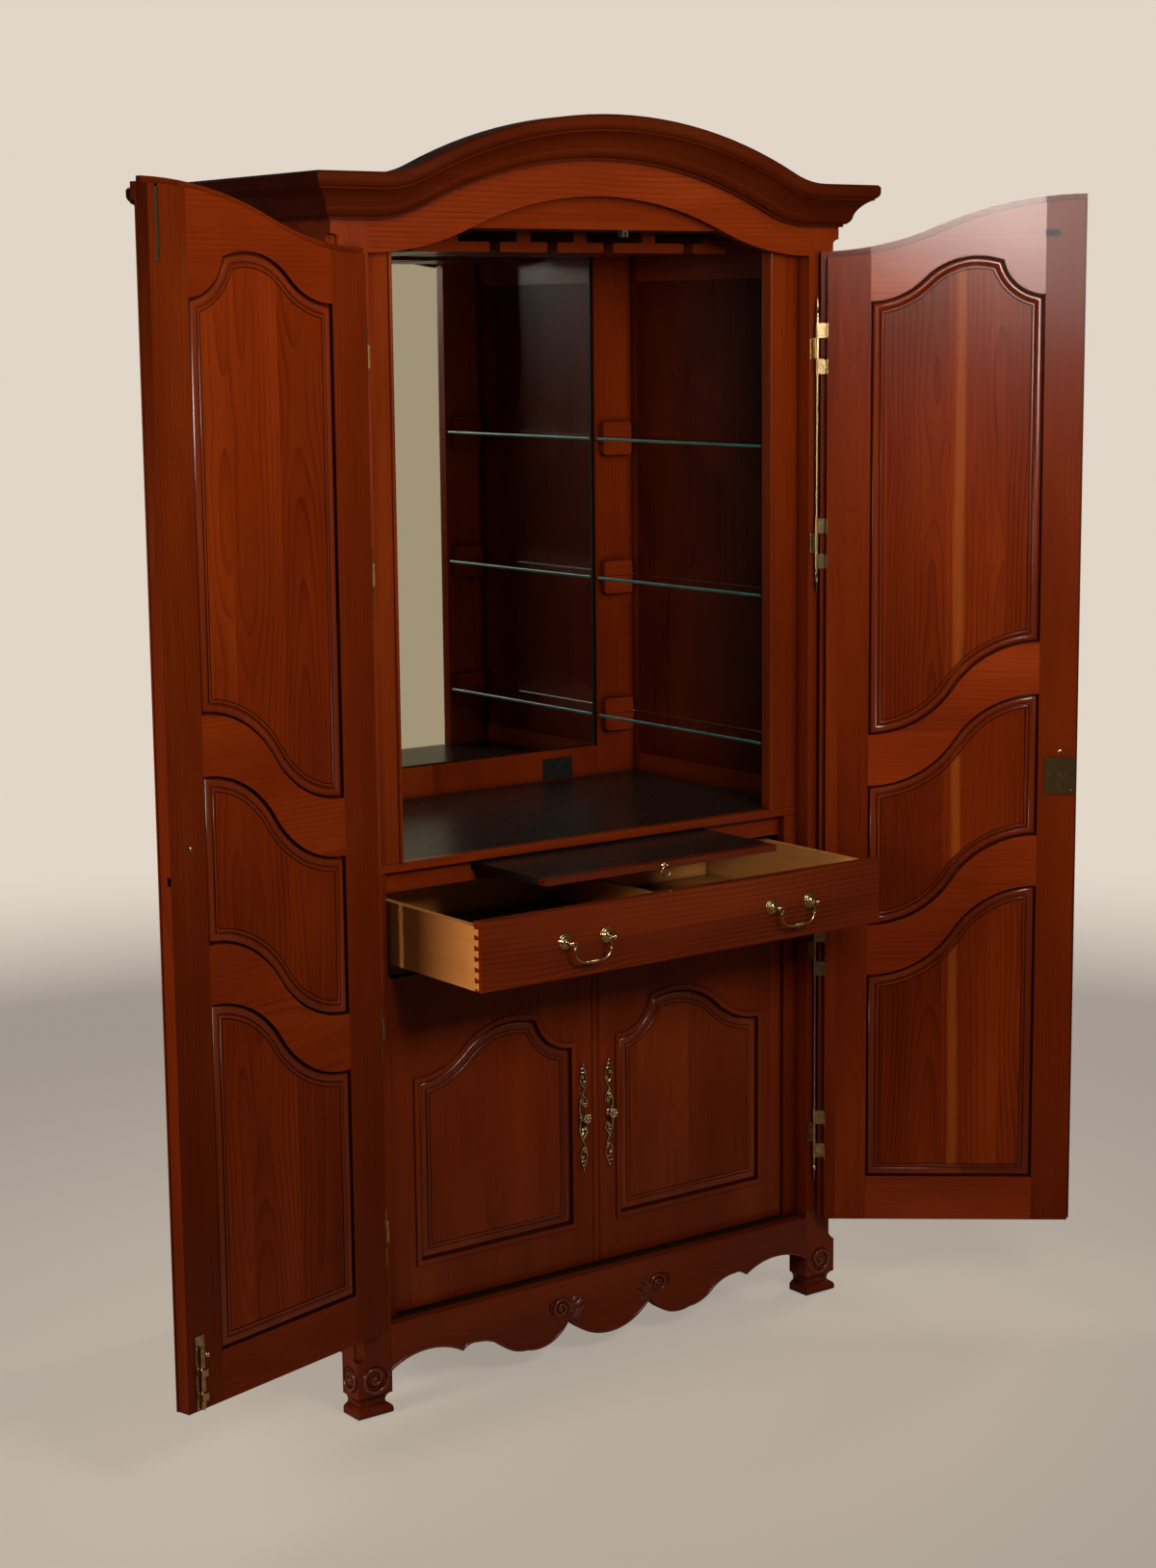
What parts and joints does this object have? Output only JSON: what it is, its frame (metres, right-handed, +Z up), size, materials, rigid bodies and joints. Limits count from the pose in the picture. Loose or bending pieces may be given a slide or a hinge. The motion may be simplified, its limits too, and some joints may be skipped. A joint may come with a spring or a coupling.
{
  "type": "armoire bar cabinet",
  "caption": "Cherry armoire with an arched top and tall panelled doors that open on a mirrored bar with glass shelves, a pull-out tray, a drawer and a cupboard below.",
  "frame": {"origin": "on the floor under the middle of the bounding box with the doors and drawer standing open as at rest", "axes": "+Z up, front towards -Y, +X to the right when facing the cabinet"},
  "size_m": [1.8532, 0.9304, 2.238],
  "materials": {
    "cherry": "satin lacquered cherry",
    "dark_surface": "dark satin bar surface",
    "cabinet_board": "plain veneered board",
    "maple": "clear lacquered maple",
    "aged_brass": "aged antique brass",
    "mirror": "silvered mirror",
    "shelf_glass": "clear glass, green edge",
    "outlet_plastic": "black plastic"
  },
  "bodies": {
    "case": {"left_front_post": "cherry", "right_front_post": "cherry", "rear_posts": "cherry", "side_rails": "cherry", "side_panels": "cherry", "back_panel": "cabinet_board", "floor_board": "cabinet_board", "top_board": "cabinet_board", "apron": "cherry", "frieze": "cherry", "header": "cherry", "cornice": "cherry", "inner_stiles": "cherry", "bar_top": "dark_surface", "bar_lipping": "cherry", "mirror": "mirror", "back_boards": "cherry", "outlet": "outlet_plastic", "shelf_cleats": "cherry", "glass_shelves": "shelf_glass", "stemware_rack": "cherry", "cross_rails": "cherry", "runners": "maple", "post_leaves": "aged_brass", "hinge_rods": "aged_brass", "door_catch": "aged_brass", "lower_pivots": "aged_brass"},
    "left_door": {"left_door_stiles": "cherry", "left_door_rails": "cherry", "left_door_panels": "cherry", "left_door_leaves": "aged_brass", "left_door_astragal": "cherry", "left_door_pull": "aged_brass", "left_bolt_plate": "aged_brass"},
    "left_top_bolt": {"left_top_bolt": "aged_brass"},
    "left_bottom_bolt": {"left_bottom_bolt": "aged_brass"},
    "right_door": {"right_door_stiles": "cherry", "right_door_rails": "cherry", "right_door_panels": "cherry", "right_door_leaves": "aged_brass", "right_door_pull": "aged_brass", "right_lock_plate": "aged_brass", "right_catch_strike": "aged_brass"},
    "right_lock_bolt": {"right_lock_bolt": "aged_brass"},
    "drawer": {"drawer_front": "cherry", "drawer_box": "maple", "drawer_bottom": "maple", "bail_posts": "aged_brass"},
    "left_bail": {"left_bail": "aged_brass"},
    "right_bail": {"right_bail": "aged_brass"},
    "serving_tray": {"tray_lip": "cherry", "tray_board": "dark_surface", "tray_ring_rose": "aged_brass"},
    "tray_ring": {"tray_ring": "aged_brass"},
    "left_lower_door": {"left_lower_frame": "cherry", "left_lower_panel": "cherry", "left_lower_pull": "aged_brass"},
    "right_lower_door": {"right_lower_frame": "cherry", "right_lower_panel": "cherry", "right_lower_pull": "aged_brass"}
  },
  "joints": [
    {"name": "left_door_hinge", "type": "hinge", "parent": "case", "child": "left_door", "pos_m": [-0.44515, -0.14183, 1.08], "axis": [0, 0, -1], "range_deg": [-80.8, 9.2]},
    {"name": "right_door_hinge", "type": "hinge", "parent": "case", "child": "right_door", "pos_m": [0.54285, -0.14183, 1.08], "axis": [0, 0, 1], "range_deg": [-57, 33]},
    {"name": "left_top_bolt_slide", "type": "slide", "parent": "left_door", "child": "left_top_bolt", "axis": [0, 0, 1], "range_m": [0, 0.012]},
    {"name": "left_bottom_bolt_slide", "type": "slide", "parent": "left_door", "child": "left_bottom_bolt", "axis": [0, 0, -1], "range_m": [0, 0.02]},
    {"name": "right_lock_bolt_slide", "type": "slide", "parent": "right_door", "child": "right_lock_bolt", "axis": [0.7771, -0.6293, 0], "range_m": [0, 0.01]},
    {"name": "drawer_slide", "type": "slide", "parent": "case", "child": "drawer", "axis": [0, -1, 0], "range_m": [-0.293, 0.09]},
    {"name": "left_bail_swing", "type": "hinge", "parent": "drawer", "child": "left_bail", "pos_m": [-0.17915, -0.39983, 0.859], "axis": [-1, 0, 0], "range_deg": [0, 95]},
    {"name": "right_bail_swing", "type": "hinge", "parent": "drawer", "child": "right_bail", "pos_m": [0.27685, -0.39983, 0.859], "axis": [-1, 0, 0], "range_deg": [0, 95]},
    {"name": "serving_tray_slide", "type": "slide", "parent": "case", "child": "serving_tray", "axis": [0, -1, 0], "range_m": [-0.214, 0.08]},
    {"name": "tray_ring_swing", "type": "hinge", "parent": "serving_tray", "child": "tray_ring", "pos_m": [0.04885, -0.30853, 0.944], "axis": [-1, 0, 0], "range_deg": [0, 90]},
    {"name": "left_lower_door_hinge", "type": "hinge", "parent": "case", "child": "left_lower_door", "pos_m": [-0.39415, -0.09083, 0.465], "axis": [0, 0, -1], "range_deg": [0, 95]},
    {"name": "right_lower_door_hinge", "type": "hinge", "parent": "case", "child": "right_lower_door", "pos_m": [0.49185, -0.09083, 0.465], "axis": [0, 0, 1], "range_deg": [0, 95]}
  ]
}
